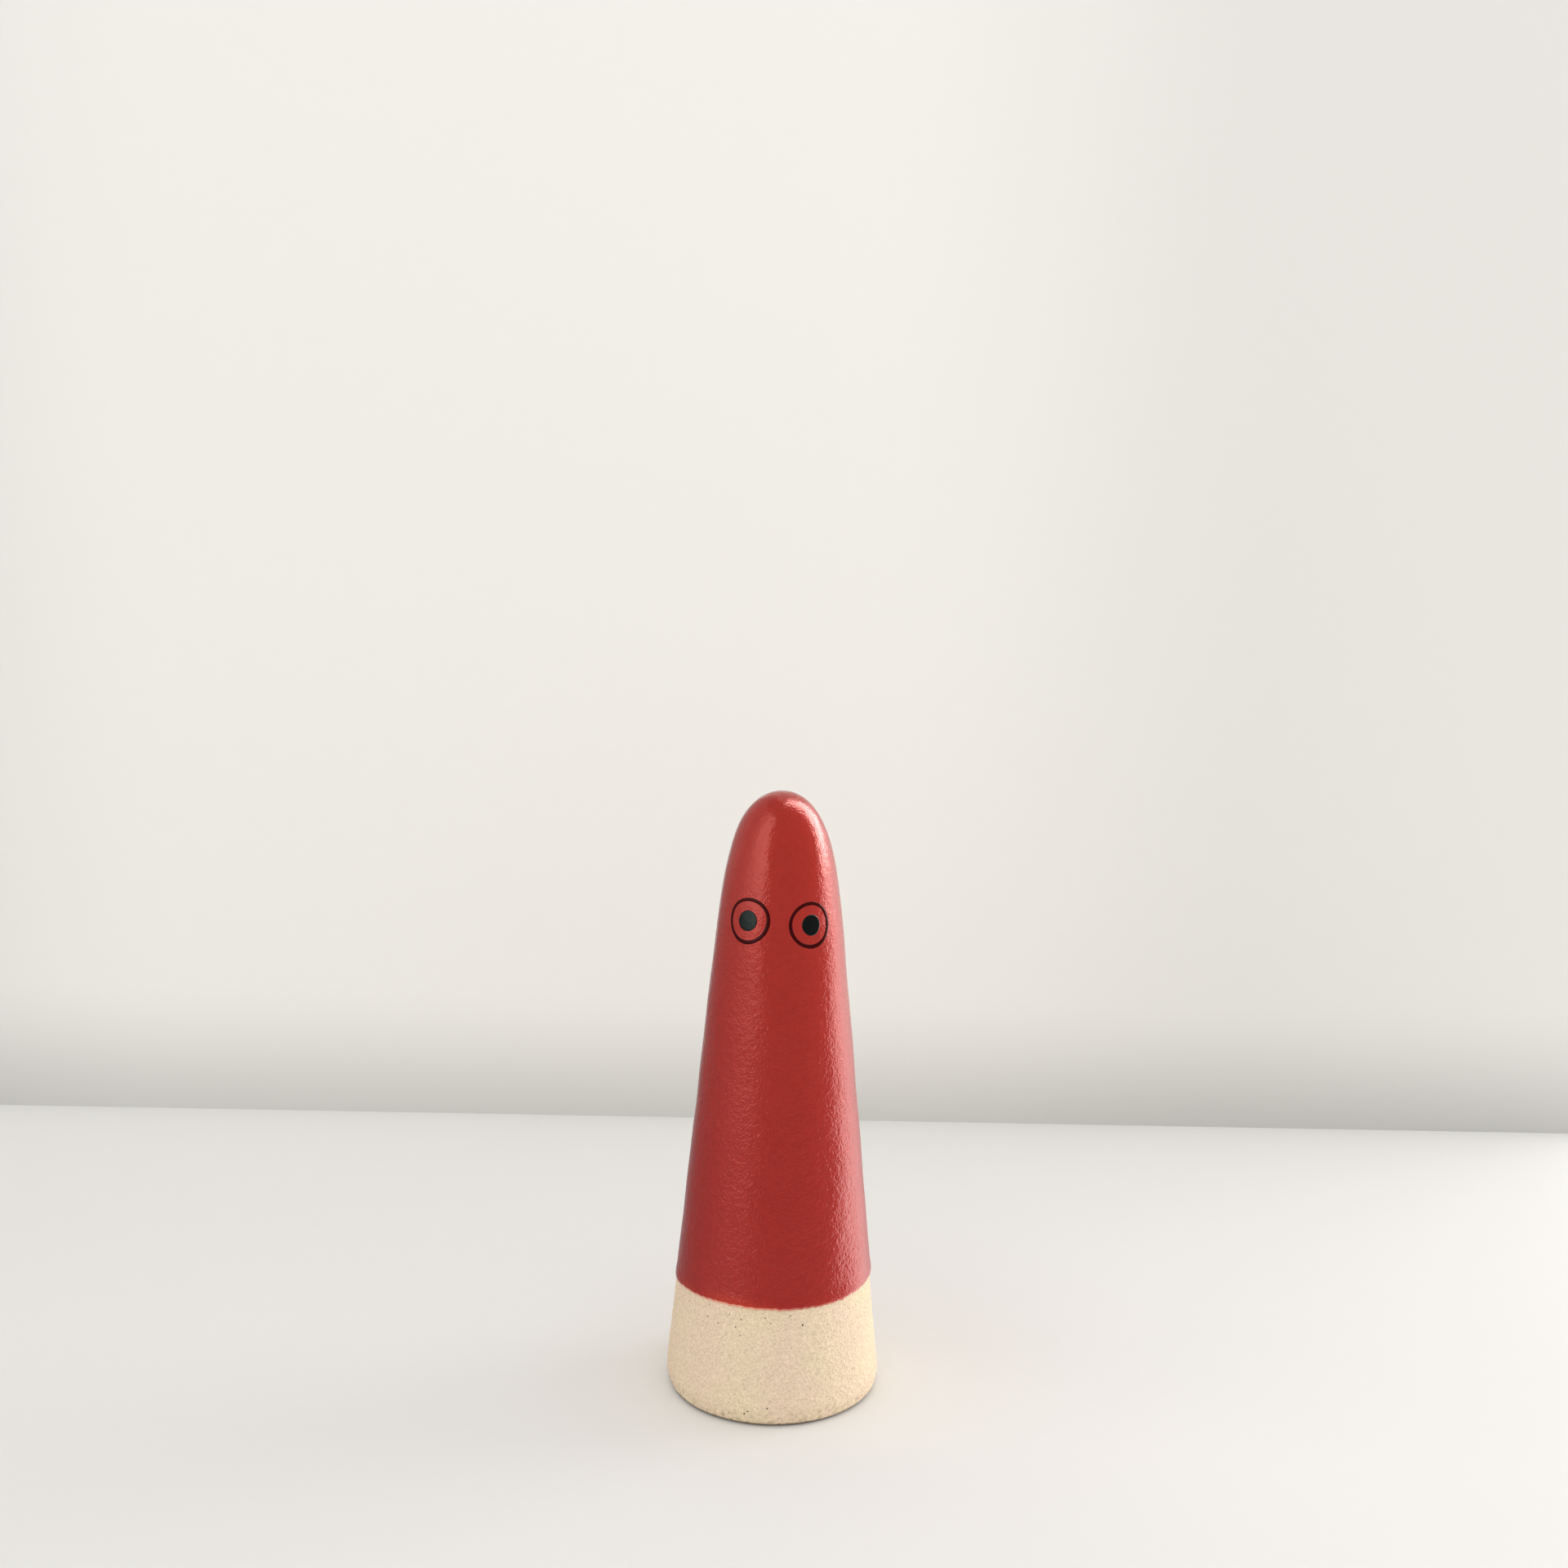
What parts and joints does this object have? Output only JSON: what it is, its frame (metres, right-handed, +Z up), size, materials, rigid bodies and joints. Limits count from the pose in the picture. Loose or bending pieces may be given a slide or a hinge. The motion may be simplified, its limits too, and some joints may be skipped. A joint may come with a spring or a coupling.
{
  "type": "ceramic cone figurine",
  "caption": "Hollow cone-shaped stoneware game figurine with a round tip, a glossy dipped glaze coat over a bare clay foot, and ring-and-dot eyes on the front.",
  "frame": {"origin": "centre of the flat underside of the foot, on the surface that the figurine stands on", "axes": "+Z up the cone's axis to the tip; the face with the eyes looks along -Y; +X is to the right as seen from the front"},
  "size_m": [0.0422, 0.0422, 0.1196],
  "materials": {
    "bare_stoneware": "bare fired clay, sandy matte cream with small dark pinholes",
    "red_gloss_glaze": "thick glossy red glaze with a fine orange-peel ripple, softer towards the dipped edge",
    "dark_line_enamel": "glossy hand-drawn dark line",
    "black_enamel": "glossy black"
  },
  "bodies": {
    "root": {"clay_body": "bare_stoneware", "glaze_coat": "red_gloss_glaze", "eye_ring_left": "dark_line_enamel", "eye_ring_right": "dark_line_enamel", "pupil_left": "black_enamel", "pupil_right": "black_enamel"}
  },
  "joints": []
}
